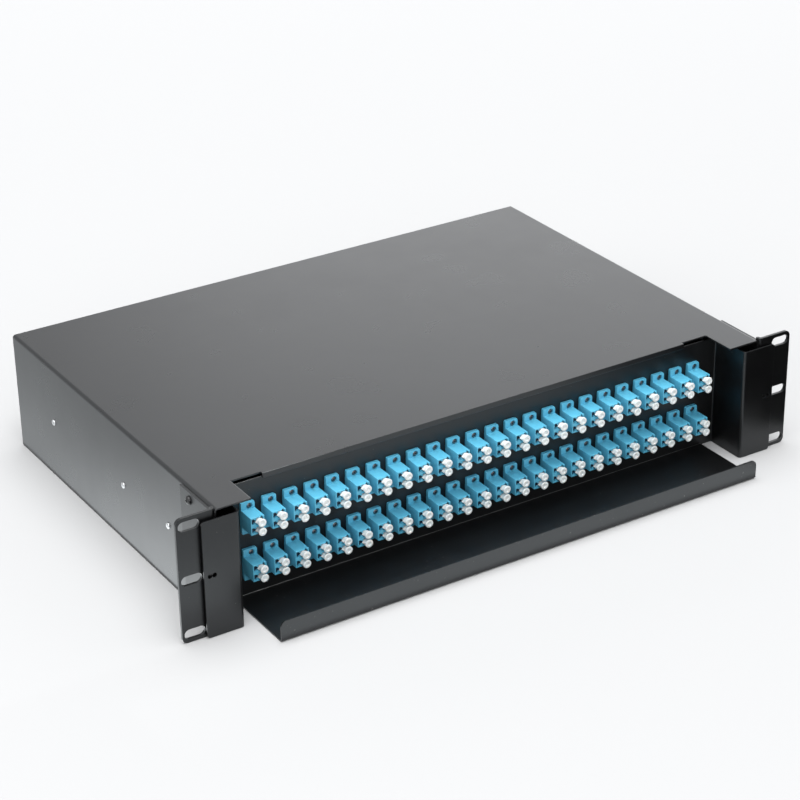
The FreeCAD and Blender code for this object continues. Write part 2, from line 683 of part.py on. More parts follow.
def slide(side, sign):
    """One telescopic slide: three nested channels with a ball cage in each race."""
    outer = channel("outer_member", side, sign,
                    c_section("0", "outer_tip", "rail_height/2", "rail_sheet", "outer_lip"),
                    "rail_front", "rail_length")
    holes = [rivet_bar("outer_rivet_hole", side, sign, spot) for spot in RIVETS]
    keep("slide_outer_" + side, cut("slide_outer_" + side, outer, holes))
    middle = channel("middle_member", side, sign,
                     c_section("middle_web", "middle_tip", "middle_height", "rail_sheet"),
                     "rail_front", "rail_length")
    keep("slide_middle_" + side, middle)
    inner = channel("inner_member", side, sign, inner_section(), "rail_front", "rail_length")
    holes = [drawer_rivet_bar("inner_rivet_hole", side, sign, spot) for spot in DRAWER_RIVETS]
    keep("slide_inner_" + side, cut("slide_inner_" + side, inner, holes))
    start = "rail_front + (rail_length - cage_length)/2"
    for name, web, tip, height in (
        ("outer", "rail_sheet + cage_play", "outer_tip - cage_inset", "middle_height"),
        ("inner", "middle_web + rail_sheet + cage_play", "middle_tip - cage_inset", "inner_height"),
    ):
        section = c_section(web, tip, height + " + race_gap/2 + cage_sheet/2", "cage_sheet")
        cage = channel(name + "_cage", side, sign, section, start, "cage_length")
        keep("ball_cage_%s_%s" % (name, side), cage)


DRAWER_RIVETS = ("rivet_second", "rivet_third")


def drawer_rivet_bar(name, side, sign, spot):
    """The shank of a rivet through the inner member and the drawer's side."""
    low, length = span(sign, "recess_half", "drawer_half + rail_sheet")
    return bar("%s_%s_%s" % (name, side, spot), "x", (low, "rail_front + " + spot, "0"),
               "rivet_shank/2", length)


def rivets():
    """Rivets of the slides: three through each side of the housing, two in the drawer."""
    housing, drawer = [], []
    for side, sign in SIDES:
        for spot in RIVETS:
            low, length = span(sign, "half_width", "half_width + rivet_rise")
            name = "slide_rivet_%s_%s" % (side, spot)
            head = bar(name + "_head", "x", (low, "rail_front + " + spot, "0"), "rivet_head/2", length)
            housing.append(fuse(name, [head, rivet_bar(name + "_shank", side, sign, spot)]))
        for spot in DRAWER_RIVETS:
            low, length = span(sign, "recess_half - rivet_rise", "recess_half")
            name = "drawer_rivet_%s_%s" % (side, spot)
            head = bar(name + "_head", "x", (low, "rail_front + " + spot, "0"), "rivet_head/2", length)
            drawer.append(fuse(name, [head, drawer_rivet_bar(name + "_shank", side, sign, spot)]))
    keep("slide_rivets", group("slide_rivets", housing))
    keep("drawer_rivets", group("drawer_rivets", drawer))


def release_lever(side, sign):
    """A finger lever inside the inner member that lets the drawer off its slide."""
    body = new_body("lever_" + side)
    near, thickness = span(sign, "drawer_half + rail_sheet + lever_side_gap",
                           "drawer_half + rail_sheet + lever_side_gap + lever_sheet")
    shape = outline(body, "lever_outline_" + side, "YZ_Plane", near, [
        ("lever_start", "-lever_height/4"),
        ("lever_start + lever_height/2", "-lever_height/2"),
        ("lever_pivot", "-lever_height/2"),
        ("lever_start + lever_length", "-lever_height/3"),
        ("lever_start + lever_length", "lever_height/3"),
        ("lever_pivot", "lever_height/2"),
        ("lever_start + lever_height/2", "lever_height/2"),
        ("lever_start", "lever_height/4"),
    ])
    pad(body, "lever_plate_" + side, shape, thickness)
    low, length = span(sign, "drawer_half", "drawer_half + slide_gap/2")
    hole = bar("lever_hole_" + side, "x", (low, "lever_pivot", "0"), "lever_pin + lever_play", length)
    keep("release_lever_" + side, cut("release_lever_" + side, body, [hole]))
    low, length = span(sign, "drawer_half + rail_sheet",
                       "drawer_half + rail_sheet + 2*lever_side_gap + lever_sheet")
    return cylinder("lever_pivot_" + side, "x", (low, "lever_pivot", "0"), "lever_pin", length)


def front_panel():
    """Front sheet of the drawer: adapter panel, recess sides and wings, folded from one sheet."""
    body = new_body("front_sheet")
    section = outline(body, "front_section", "XY_Plane", "wing_foot", mirrored([
        ("recess_half", "panel_front"),
        ("recess_half", "wing_front"),
        ("wing_half", "wing_front"),
        ("wing_half", "wing_back"),
        ("drawer_half", "wing_back"),
        ("drawer_half", "panel_back"),
    ]))
    pad(body, "front_fold", section, "wing_top - (wing_foot)")
    bend(body, "front_outer_bends", section, (1, 5, 6, 10), "bend_radius + sheet")
    bend(body, "front_inner_bends", section, (0, 4, 7, 11), "bend_radius")
    face = outline(body, "wing_corners", "XZ_Plane", "-wing_front",
                   rectangle("-(wing_half)", "wing_foot", "wing_half", "wing_top"))
    doc.recompute()
    corners = body.newObject("PartDesign::Chamfer", "wing_chamfers")
    base = body.getObject("front_inner_bends")
    corners.Base = (base, corner_edges(base.Shape, face, (0, 1, 2, 3)))
    bind(corners, "Size", "wing_chamfer")
    doc.recompute()
    foot = outline(body, "tray_relief_outline", "XZ_Plane", "-(panel_front - 1)",
                   rectangle("-(tray_half + cutout_play)", "base - 1", "tray_half + cutout_play",
                             "base + sheet"))
    pocket(body, "tray_relief", foot, "sheet + 2")
    first = "-(adapter_count - 1)*adapter_pitch/2"
    half = "adapter_width/2 + cutout_play"
    for row, centre in ROWS:
        opening = outline(body, row + "_opening", "XZ_Plane", "-(panel_front - 1)",
                          rectangle("%s - (%s)" % (first, half),
                                    "%s - adapter_height/2 - cutout_play" % centre,
                                    "%s + %s" % (first, half),
                                    "%s + adapter_height/2 + cutout_play" % centre))
        one = pocket(body, row + "_cutout", opening, "sheet + 2")
        cutouts = body.newObject("PartDesign::LinearPattern", row + "_cutouts")
        cutouts.Originals = [one]
        cutouts.Direction = (origin_plane(body, "X_Axis"), [""])
        bind(cutouts, "Occurrences", "adapter_count")
        bind(cutouts, "Length", "(adapter_count - 1)*adapter_pitch")
        body.Tip = cutouts
    tools = []
    for side, sign in SIDES:
        for lobe, shift in (("near", "- lock_pitch/2"), ("far", "+ lock_pitch/2")):
            spot = (signed(sign, "lock_centre " + shift), "wing_front - 1", "0")
            tools.append(bar("lock_lobe_%s_%s" % (side, lobe), "y", spot, "lock_lobe/2", "sheet + 2"))
    return keep("front_panel", cut("front_panel", body, tools))


ROWS = (("upper", "upper_centre"), ("lower", "lower_centre"))


def drawer_base():
    """Floor and sides of the drawer, with flanges behind the front sheet and a rear lip."""
    body = new_body("drawer_sheet")
    section = outline(body, "drawer_section", "XZ_Plane", "-flange_back", mirrored([
        ("drawer_half", "floor_under"),
        ("drawer_half", "wall_top"),
        ("recess_half", "wall_top"),
        ("recess_half", "floor_top"),
    ]))
    pad(body, "drawer_fold", section, "drawer_back - flange_back", reverse=True)
    front = outline(body, "front_flange_outline", "XZ_Plane", "-flange_back",
                    rectangle("-(recess_half - drawer_flange)", "floor_under",
                              "recess_half - drawer_flange", "floor_under + drawer_flange"))
    pad(body, "front_flange", front, "sheet", reverse=True)
    lip = outline(body, "rear_lip_outline", "XZ_Plane", "-drawer_back",
                  rectangle("-(recess_half - rear_lip_inset)", "floor_under",
                            "recess_half - rear_lip_inset", "floor_under + rear_lip"))
    pad(body, "rear_lip", lip, "sheet")
    blocks = [body]
    for side, sign in SIDES:
        low, length = span(sign, "recess_half - drawer_flange", "drawer_half")
        blocks.append(box("side_flange_" + side, (low, "panel_back", "upstand_top + sheet"),
                          (length, "sheet", "wall_top - (upstand_top) - sheet")))
    holes = [drawer_rivet_bar("drawer_rivet_hole", side, sign, spot)
             for side, sign in SIDES for spot in DRAWER_RIVETS]
    return keep("drawer_base", cut("drawer_base", fuse("drawer_blank", blocks), holes))


def cable_tray():
    """Front tray that carries the patch cords, with a lip and a flange behind the panel."""
    body = new_body("tray_sheet")
    section = outline(body, "tray_section", "YZ_Plane", "-(tray_half)", [
        ("-tray_reach", "base"),
        ("flange_back", "base"),
        ("flange_back", "upstand_top"),
        ("panel_back", "upstand_top"),
        ("panel_back", "base + sheet"),
        ("-tray_reach + sheet", "base + sheet"),
        ("-tray_reach + sheet", "base + tray_lip"),
        ("-tray_reach", "base + tray_lip"),
    ])
    pad(body, "tray_fold", section, "2*(tray_half)")
    bend(body, "tray_outer_bend", section, (0,), "bend_radius + sheet")
    bend(body, "tray_inner_bend", section, (5,), "bend_radius")
    face = outline(body, "tray_lip_corners", "XZ_Plane", "tray_reach",
                   rectangle("-(tray_half)", "base", "tray_half", "base + tray_lip"))
    doc.recompute()
    bend(body, "tray_corners", face, (2, 3), "tray_corner")
    return keep("cable_tray", body)


def row_of(label, masters):
    """Copies of one adapter's pieces at every opening of its row, as separate solids in one node."""
    doc.recompute()
    count = int(doc.getObject("upper_cutouts").Occurrences)
    copies = []
    for number in range(count):
        across = Vector((number - (count - 1) / 2) * size("adapter_pitch"), 0, 0)
        copies += [master.Shape.translated(across) for master in masters]
    item = doc.addObject("Part::Feature", label)
    item.Shape = Part.makeCompound(copies)
    return keep(label, item)


def adapters():
    """Duplex adapters and the dust caps of their front ports, in two rows."""
    for row, centre in ROWS:
        block = box(row + "_block", ("-adapter_width/2", "nose_front", centre + " - adapter_height/2"),
                    ("adapter_width", "adapter_back - (nose_front)", "adapter_height"))
        flange = box(row + "_flange", ("-adapter_width/2", "flange_front", centre + " - flange_height/2"),
                     ("adapter_width", "flange_thickness", "flange_height"))
        ports, caps = [], []
        for name, middle in (("low", centre + " - port_pitch/2"), ("high", centre + " + port_pitch/2")):
            ports.append(box("%s_port_%s" % (row, name),
                             ("-port_width/2 - port_shift", "nose_front", middle + " - port_height/2"),
                             ("port_width", "port_depth", "port_height")))
            caps.append(bar("%s_cap_%s" % (row, name), "y", ("cap_shift", "nose_front - cap_length", middle),
                            "cap_diameter/2", "cap_length"))
        adapter = cut(row + "_adapter", fuse(row + "_adapter_blank", [block, flange]), ports)
        row_of("adapters_" + row, [adapter])
        row_of("dust_caps_" + row, caps)


def splice_stack(side, sign):
    """Two splice trays with a clear lid on the upper one."""
    left = "-splice_width/2 + " + signed(sign, "stack_centre")
    for level, floor in (("lower", "floor_top"), ("upper", "floor_top + splice_height")):
        name = "splice_tray_%s_%s" % (side, level)
        block = box(name + "_block", (left, "splice_front", floor),
                    ("splice_width", "splice_depth", "splice_height"))
        hollow = box(name + "_hollow", (left + " + splice_wall", "splice_front + splice_wall",
                                        floor + " + splice_wall"),
                     ("splice_width - 2*splice_wall", "splice_depth - 2*splice_wall", "splice_height"))
        keep(name, cut(name, block, [hollow]))
    lid = box("splice_lid_" + side, (left, "splice_front", "lid_under"),
              ("splice_width", "splice_depth", "lid_thickness"))
    keep("splice_lid_" + side, lid)


def splice_holders():
    """Grooved holders for the fusion splices, one in each tray."""
    holders = []
    for side, sign in SIDES:
        for level, floor in (("lower", "floor_top"), ("upper", "floor_top + splice_height")):
            name = "holder_%s_%s" % (side, level)
            left = signed(sign, "stack_centre") + " - comb_width/2"
            front = "splice_front + splice_wall + comb_setback"
            height = floor + " + splice_wall"
            block = box(name + "_block", (left, front, height), ("comb_width", "comb_depth", "comb_height"))
            grooves = [box("%s_groove_%s" % (name, end),
                           (left, "%s + (comb_depth %s comb_pitch - comb_groove)/2" % (front, step),
                            height + " + comb_height/3"),
                           ("comb_width", "comb_groove", "comb_height"))
                       for end, step in (("front", "-"), ("back", "+"))]
            holders.append(cut(name, block, grooves))
    return keep("splice_holders", group("splice_holders", holders))


def hold_downs():
    """Stud, plate and wing nut in front of each stack of splice trays."""
    studs, plates, nuts = [], [], []
    for side, sign in SIDES:
        centre = signed(sign, "stack_centre")
        stud_spot = (centre, "stud_place", "floor_top")
        studs.append(bar("stud_" + side, "z", stud_spot, "stud_radius",
                         "clamp_top - (floor_top) + nut_height/3 + nut_wing_height + stud_stand"))
        plate = box("plate_blank_" + side,
                    (centre + " - clamp_width/2", "stud_place - clamp_width/2", "lid_top"),
                    ("clamp_width", "clamp_length", "clamp_sheet"))
        hole = bar("plate_hole_" + side, "z", (centre, "stud_place", "lid_top - 1"),
                   "stud_radius + thread_play", "clamp_sheet + 2")
        plates.append(cut("plate_" + side, plate, [hole]))
        hub = bar("nut_hub_" + side, "z", (centre, "stud_place", "clamp_top"), "nut_radius", "nut_height")
        wings = box("nut_wings_" + side,
                    (centre + " - nut_radius - nut_wing", "stud_place - nut_wing_sheet/2",
                     "clamp_top + nut_height/3"),
                    ("2*nut_radius + 2*nut_wing", "nut_wing_sheet", "nut_wing_height"))
        hole = bar("nut_hole_" + side, "z", (centre, "stud_place", "lid_top"),
                   "stud_radius + thread_play", "nut_height + nut_wing_height + clamp_sheet")
        nuts.append(cut("nut_" + side, fuse("nut_blank_" + side, [hub, wings]), [hole]))
    keep("hold_down_studs", group("hold_down_studs", studs))
    keep("hold_down_plates", group("hold_down_plates", plates))
    keep("wing_nuts", group("wing_nuts", nuts))


def fibre_spools():
    """Rings that keep the slack fibre above its smallest bend, with four fingers on top."""
    spools = []
    for side, sign in SIDES:
        centre = signed(sign, "spool_centre")
        spot = (centre, "spool_depth", "floor_top")
        wall = bar("spool_wall_" + side, "z", spot, "spool_radius", "spool_height", "spool_sides")
        ledge = "floor_top + spool_height - spool_wall"
        across = box("spool_fingers_x_" + side,
                     (centre + " - spool_radius - spool_tab", "spool_depth - spool_tab_width/2", ledge),
                     ("2*spool_radius + 2*spool_tab", "spool_tab_width", "spool_wall"))
        along = box("spool_fingers_y_" + side,
                    (centre + " - spool_tab_width/2", "spool_depth - spool_radius - spool_tab", ledge),
                    ("spool_tab_width", "2*spool_radius + 2*spool_tab", "spool_wall"))
        bore = bar("spool_bore_" + side, "z", (centre, "spool_depth", "floor_top - 1"),
                   "spool_radius - spool_wall", "spool_height + 2", "spool_sides")
        spools.append(cut("spool_" + side, fuse("spool_blank_" + side, [wall, across, along]), [bore]))
    return keep("fibre_spools", group("fibre_spools", spools))


def tie_mounts():
    """Mounts for cable ties in the two lanes beside the splice trays."""
    mounts = []
    for side, sign in SIDES:
        for number in (0, 1):
            name = "tie_mount_%s_%d" % (side, number)
            left = signed(sign, "lane_centre") + " - mount_width/2"
            front = "splice_front + mount_setback + %d*mount_pitch" % number
            block = box(name + "_block", (left, front, "floor_top"),
                        ("mount_width", "mount_depth", "mount_height"))
            tunnel = box(name + "_tunnel", (left + " + mount_foot", front, "floor_top"),
                         ("mount_width - 2*mount_foot", "mount_depth", "mount_tunnel"))
            mounts.append(cut(name, block, [tunnel]))
    return keep("tie_mounts", group("tie_mounts", mounts))


def build():
    housing_wrap()
    base_pan()
    for side, sign in SIDES:
        rack_ear(side, sign)
    ear_screws()
    cable_glands()
    pivots = []
    for side, sign in SIDES:
        slide(side, sign)
        pivots.append(release_lever(side, sign))
    keep("lever_pivots", group("lever_pivots", pivots))
    rivets()
    front_panel()
    drawer_base()
    cable_tray()
    adapters()
    for side, sign in SIDES:
        splice_stack(side, sign)
    splice_holders()
    hold_downs()
    fibre_spools()
    tie_mounts()


def check():
    """Stop before writing if any object failed or any node's shape is empty or invalid."""
    for item in doc.Objects:
        if "Invalid" in item.State or "Error" in item.State:
            raise RuntimeError(item.Label + " failed: " + str(item.State))
    for label, item in nodes.items():
        if item.Shape.isNull() or not item.Shape.isValid():
            raise RuntimeError(label + " has no valid shape")


build()
doc.recompute()
check()
os.makedirs("parts", exist_ok=True)
for label, item in nodes.items():
    item.Shape.exportStep(os.path.join("parts", label + ".step"))
print(len(nodes), "nodes")
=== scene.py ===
import json
import math
import bpy
import bmesh
from mathutils import Euler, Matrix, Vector


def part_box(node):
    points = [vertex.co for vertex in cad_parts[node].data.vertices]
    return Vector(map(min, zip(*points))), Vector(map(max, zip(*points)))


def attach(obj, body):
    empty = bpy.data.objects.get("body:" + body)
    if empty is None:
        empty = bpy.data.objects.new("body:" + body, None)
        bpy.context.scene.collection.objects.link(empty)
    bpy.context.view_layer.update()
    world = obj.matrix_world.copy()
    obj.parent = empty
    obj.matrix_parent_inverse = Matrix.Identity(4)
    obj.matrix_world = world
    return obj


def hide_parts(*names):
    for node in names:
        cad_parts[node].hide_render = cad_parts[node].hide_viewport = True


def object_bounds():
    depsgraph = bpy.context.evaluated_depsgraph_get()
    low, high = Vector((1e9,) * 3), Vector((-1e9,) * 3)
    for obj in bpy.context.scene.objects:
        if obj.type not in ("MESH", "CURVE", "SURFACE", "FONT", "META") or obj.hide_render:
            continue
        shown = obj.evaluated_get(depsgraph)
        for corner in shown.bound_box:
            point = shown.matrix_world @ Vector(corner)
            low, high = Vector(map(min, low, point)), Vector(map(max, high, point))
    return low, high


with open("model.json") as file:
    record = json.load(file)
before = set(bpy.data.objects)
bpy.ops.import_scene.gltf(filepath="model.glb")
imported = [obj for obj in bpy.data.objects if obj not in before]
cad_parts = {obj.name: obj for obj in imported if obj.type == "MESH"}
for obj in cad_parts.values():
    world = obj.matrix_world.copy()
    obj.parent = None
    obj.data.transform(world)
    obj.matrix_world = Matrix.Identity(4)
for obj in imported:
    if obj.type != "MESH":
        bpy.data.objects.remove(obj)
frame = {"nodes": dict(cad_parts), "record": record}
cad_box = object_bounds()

# Looks of the sliding fibre patch drawer. Folded sheets, slides, glands and the parts inside are the
# CAD nodes with better materials. Adapters, dust caps, rivets and screws are modelled here in full.
# Everything is in metres, in the part's frame: X right, Y back, Z up.

MM = 0.001
nodes = frame["nodes"]
SIDES = (("left", -1), ("right", 1))
SHEET = 1.2 * MM
TINY = 1e-7

ADAPTERS = 24
ADAPTER_WIDTH = 9.8 * MM
ADAPTER_HEIGHT = 12.2 * MM
FLANGE_DEPTH = 2.3 * MM
PORT_PITCH = 6.25 * MM
CAP_SHIFT = 1.3 * MM
SCREW_SHIFT = 1.0 * MM
SCREW_REACH = 8.1 * MM
CAP_SIDES = 36
HEAD_SIDES = 28
BALLS = 9
BALL_RADIUS = 1.5 * MM
BALL_SHIFT = 0.4 * MM
BALL_SINK = 0.3 * MM
BALL_BANDS = 8
BALL_SIDES = 14
NOISE_RANGE = (0.3, 0.7)

SKY_COLOUR = (0.985, 0.99, 1.0, 1)
SKY_LOW = 0.65
SKY_BACK = 1.7
SKY_TOP = 5.0
WALL_TURN = 25.5
CARD_COLOUR = (0.95, 0.985, 1.0, 1)
TOP_POWER = 5.0
FRONT_POWER = 12.0
LEFT_POWER = 9.0
FLOOR_REACH = 4
# The paper is paler far away: painted light where the lamps reach less.
PAPER_NEAR = (0.422, 0.424, 0.426)
PAPER_FAR = (0.500, 0.502, 0.504)
AWAY = (0.535, 0.845)
LENS = 105.27
CAMERA_SPOT = (-0.77232, -1.10961, 0.74171)
CAMERA_ANGLES = (63.1588, 0.8053, -32.3496)


# Materials

def new_material(name, colour, roughness, **sockets):
    """A material with a Principled shader, whose plain values sit on the shader itself."""
    made = bpy.data.materials.new(name)
    made.use_nodes = True
    shader = made.node_tree.nodes["Principled BSDF"]
    shader.inputs["Base Color"].default_value = (*colour, 1)
    shader.inputs["Roughness"].default_value = roughness
    for socket, value in sockets.items():
        shader.inputs[socket.replace("_", " ")].default_value = value
    return made


def add(tree, kind, **values):
    """A new shader node with its settings or input values."""
    item = tree.nodes.new(kind)
    for name, value in values.items():
        if hasattr(item, name):
            setattr(item, name, value)
        else:
            item.inputs[name].default_value = value
    return item


def map_range(tree, source, first, last, from_low, from_high, kind="LINEAR"):
    """A value brought from one range to another, evenly or with a smooth start and end."""
    item = add(tree, "ShaderNodeMapRange", interpolation_type=kind)
    for name, value in (("From Min", from_low), ("From Max", from_high), ("To Min", first), ("To Max", last)):
        item.inputs[name].default_value = value
    tree.links.new(source, item.inputs["Value"])
    return item.outputs["Result"]


def colour_mix(tree, first, second, factor):
    """A blend of two plain colours by a value."""
    mix = add(tree, "ShaderNodeMix", data_type="RGBA", A=(*first, 1), B=(*second, 1))
    tree.links.new(factor, mix.inputs["Factor"])
    return mix


def object_noise(tree, scale, detail=2.0, stretch=(1, 1, 1)):
    """Noise in the object's own space, so that it keeps its size in metres."""
    place = add(tree, "ShaderNodeTexCoord")
    mapping = add(tree, "ShaderNodeMapping", Scale=stretch)
    noise = add(tree, "ShaderNodeTexNoise", Scale=scale, Detail=detail)
    tree.links.new(place.outputs["Object"], mapping.inputs["Vector"])
    tree.links.new(mapping.outputs["Vector"], noise.inputs["Vector"])
    return noise.outputs["Fac"]


def vary_roughness(made, scale, low, high):
    tree = made.node_tree
    value = map_range(tree, object_noise(tree, scale), low, high, *NOISE_RANGE)
    tree.links.new(value, tree.nodes["Principled BSDF"].inputs["Roughness"])


def vary_colour(made, colour, darker, scale):
    """The colour, clouded with a darker tone of itself."""
    tree = made.node_tree
    factor = map_range(tree, object_noise(tree, scale, 3.0), 0, 1, *NOISE_RANGE)
    mix = colour_mix(tree, tuple(darker * part for part in colour), colour, factor)
    tree.links.new(mix.outputs["Result"], tree.nodes["Principled BSDF"].inputs["Base Color"])
    return mix


def add_grain(made, scale, depth, strength, stretch=(1, 1, 1), edge=0.0):
    """A fine bump, over edges that a small radius rounds in the shading."""
    tree = made.node_tree
    bump = add(tree, "ShaderNodeBump", Strength=strength, Distance=depth)
    tree.links.new(object_noise(tree, scale, 2.0, stretch), bump.inputs["Height"])
    if edge:
        bevel = add(tree, "ShaderNodeBevel", samples=4, Radius=edge)
        tree.links.new(bevel.outputs["Normal"], bump.inputs["Normal"])
    tree.links.new(bump.outputs["Normal"], tree.nodes["Principled BSDF"].inputs["Normal"])


def powder_coat(name, colour, roughness, index=1.7, dust=0.0, edge=0.7 * MM):
    """Satin black powder coat: fine orange peel, faint clouding, and dust where it collects."""
    made = new_material(name, colour, roughness, IOR=index, Specular_Tint=(0.93, 0.97, 1.0, 1))
    mix = vary_colour(made, colour, 0.7, 18.0)
    if dust:
        tree = made.node_tree
        specks = map_range(tree, object_noise(tree, 700.0, 0.0), 0, dust, 0.82, 0.88)
        dusty = colour_mix(tree, colour, (0.30, 0.29, 0.27), specks)
        tree.links.new(mix.outputs["Result"], dusty.inputs["A"])
        tree.links.new(dusty.outputs["Result"], tree.nodes["Principled BSDF"].inputs["Base Color"])
    vary_roughness(made, 35.0, roughness - 0.02, roughness + 0.02)
    add_grain(made, 2600.0, 0.03 * MM, 0.15, edge=edge)
    return made


def plated_steel(name, colour, roughness, brush=(1, 1, 1)):
    made = new_material(name, colour, roughness, Metallic=1.0)
    vary_roughness(made, 160.0, roughness - 0.02, roughness + 0.04)
    vary_colour(made, colour, 0.94, 60.0)
    add_grain(made, 900.0, 0.01 * MM, 0.05, brush, 0.2 * MM)
    return made


def moulded_plastic(name, colour, roughness, soft=0.0, edge=0.0):
    made = new_material(name, colour, roughness, Specular_IOR_Level=0.5, Subsurface_Weight=soft,
                        Subsurface_Radius=(1.0, 0.8, 0.7), Subsurface_Scale=0.6 * MM)
    vary_colour(made, colour, 0.93, 220.0)
    vary_roughness(made, 300.0, roughness - 0.04, roughness + 0.05)
    add_grain(made, 1800.0, 0.02 * MM, 0.12, edge=edge)
    return made


BRUSHED = (6, 0.3, 6)
nickel = plated_steel("bright_steel", (0.62, 0.63, 0.64), 0.30)
# A light grey steel for the painted highlight lines along sheet edges, which stand in for light caught by
# bends and gaps.
painted_edge_highlight = plated_steel("painted_edge_highlight", (0.30, 0.30, 0.30), 0.40)
screw_steel = plated_steel("screw_steel", (0.16, 0.16, 0.17), 0.25)
black_steel = moulded_plastic("black_steel", (0.012, 0.012, 0.013), 0.30)
aqua = moulded_plastic("adapter_plastic", (0.093, 0.405, 0.580), 0.32, soft=0.15)
white_cap = moulded_plastic("cap_plastic", (0.71, 0.75, 0.75), 0.34, soft=0.4)
port_dark = moulded_plastic("port_dark", (0.004, 0.020, 0.040), 0.55)

SLOT_MATERIALS = {
    "body_paint": powder_coat("body_paint", (0.005, 0.005, 0.0055), 0.29),
    "front_paint": powder_coat("front_paint", (0.0012, 0.0012, 0.0014), 0.36, 1.6, 0.25, 0.3 * MM),
    "black_steel": black_steel,
    "bright_steel": nickel,
    "slide_zinc": plated_steel("slide_zinc", (0.60, 0.62, 0.64), 0.34, BRUSHED),
    "cage_steel": plated_steel("cage_steel", (0.50, 0.50, 0.48), 0.34, BRUSHED),
    "lever_plastic": moulded_plastic("lever_plastic", (0.014, 0.014, 0.014), 0.4, edge=0.2 * MM),
    "black_nylon": moulded_plastic("black_nylon", (0.016, 0.016, 0.017), 0.42, edge=0.3 * MM),
    "seal_rubber": moulded_plastic("seal_rubber", (0.014, 0.014, 0.014), 0.62),
    "adapter_plastic": aqua,
    "cap_plastic": white_cap,
    "tray_plastic": moulded_plastic("tray_plastic", (0.022, 0.022, 0.024), 0.38, edge=0.3 * MM),
    "clear_plastic": new_material("clear_plastic", (0.92, 0.94, 0.95), 0.08, Transmission_Weight=0.9,
                                  IOR=1.49),
    "holder_rubber": moulded_plastic("holder_rubber", (0.36, 0.37, 0.38), 0.5, edge=0.3 * MM),
}

for part in frame["record"]["subparts"]:
    for held in nodes[part["node"]].material_slots:
        held.material = SLOT_MATERIALS[part["material_slot"]]


# Mesh helpers

def new_object(name, mesh):
    made = bpy.data.objects.new(name, mesh)
    bpy.context.scene.collection.objects.link(made)
    return made


def finished(name, builder, material, smooth=35.0):
    """A new piece from a bmesh, shaded smooth up to an angle."""
    mesh = bpy.data.meshes.new(name)
    bmesh.ops.recalc_face_normals(builder, faces=builder.faces)
    for face in builder.faces:
        face.smooth = True
    for edge in builder.edges:
        edge.smooth = edge.is_manifold and edge.calc_face_angle(0) < math.radians(smooth)
    builder.to_mesh(mesh)
    builder.free()
    mesh.materials.append(material)
    return new_object(name, mesh)


def moving_piece(name, builder, material, body, smooth=35.0):
    """A finished piece that rides on a body and has a named material slot."""
    piece = finished(name, builder, material, smooth)
    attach(piece, body)
    return piece


def corners_of(name):
    """Lowest and highest corners of a CAD node's box."""
    low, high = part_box(name)
    return Vector(low), Vector(high)


def turn_to(axis):
    return Vector((0, 0, 1)).rotation_difference(Vector(axis)).to_matrix()


def revolve(builder, profile, spot, axis, sides):
    """Turns (radius, distance) points about an axis."""
    turn = turn_to(axis)
    rings = []
    for radius, along in profile:
        if radius < TINY:
            rings.append([builder.verts.new(turn @ Vector((0, 0, along)) + Vector(spot))])
            continue
        ring = []
        for number in range(sides):
            angle = 2 * math.pi * number / sides
            point = Vector((radius * math.cos(angle), radius * math.sin(angle), along))
            ring.append(builder.verts.new(turn @ point + Vector(spot)))
        rings.append(ring)
    for low, high in zip(rings, rings[1:]):
        for number in range(sides):
            after = (number + 1) % sides
            corners = [low[number % len(low)], low[after % len(low)],
                       high[after % len(high)], high[number % len(high)]]
            unique = list(dict.fromkeys(corners))
            if len(unique) > 2:
                builder.faces.new(unique)


def rounded_block(builder, low, high, radius=0.0, segments=2):
    """A block, with all its edges rounded where a radius is given."""
    low, high = Vector(low), Vector(high)
    made = bmesh.ops.create_cube(builder, size=1.0)
    bmesh.ops.scale(builder, vec=high - low, verts=made["verts"])
    bmesh.ops.translate(builder, vec=(low + high) / 2, verts=made["verts"])
    if radius:
        edges = list({edge for vert in made["verts"] for edge in vert.link_edges})
        bmesh.ops.bevel(builder, geom=edges, offset=radius, segments=segments, affect="EDGES", profile=0.5)


def prism(builder, outline, start, length):
    """A flat outline of (x, z) points, pushed along Y."""
    near = [builder.verts.new((x, start, z)) for x, z in outline]
    far = [builder.verts.new((x, start + length, z)) for x, z in outline]
    builder.faces.new(near)
    builder.faces.new(list(reversed(far)))
    for number in range(len(outline)):
        after = (number + 1) % len(outline)
        builder.faces.new([near[number], far[number], far[after], near[after]])


def rounded_outline(half_width, half_height, right, left, steps=5):
    """Points round a rectangle whose right and left corners have their own radii."""
    points = []
    corners = ((1, 1, right), (-1, 1, left), (-1, -1, left), (1, -1, right))
    for quarter, (x, z, radius) in enumerate(corners):
        centre = (x * (half_width - radius), z * (half_height - radius))
        for step in range(steps + 1):
            angle = math.pi / 2 * (quarter + step / steps)
            points.append((centre[0] + radius * math.cos(angle), centre[1] + radius * math.sin(angle)))
    return points


def boolean(builder, tool_builder, operation="DIFFERENCE"):
    """The first shape less the second, or both as one, by an exact boolean."""
    made = []
    for number, source in enumerate((builder, tool_builder)):
        mesh = bpy.data.meshes.new("operand_%d" % number)
        bmesh.ops.recalc_face_normals(source, faces=source.faces)
        source.to_mesh(mesh)
        source.free()
        made.append(new_object("operand_%d" % number, mesh))
    modifier = made[0].modifiers.new("boolean", "BOOLEAN")
    modifier.object = made[1]
    modifier.operation = operation
    modifier.solver = "EXACT"
    modifier.use_self = True
    result = bmesh.new()
    result.from_mesh(made[0].evaluated_get(bpy.context.evaluated_depsgraph_get()).to_mesh())
    for piece in made:
        mesh = piece.data
        bpy.data.objects.remove(piece)
        bpy.data.meshes.remove(mesh)
    return result


def join(result, builder):
    """Adds one shape to another and returns the new vertices."""
    source = bpy.data.meshes.new("source")
    builder.to_mesh(source)
    before = len(result.verts)
    result.from_mesh(source)
    bpy.data.meshes.remove(source)
    result.verts.ensure_lookup_table()
    return result.verts[before:]


def copies(builder, shifts):
    """The same shape at several places, in one mesh."""
    result = bmesh.new()
    for shift in shifts:
        bmesh.ops.translate(result, vec=Vector(shift), verts=join(result, builder))
    builder.free()
    return result


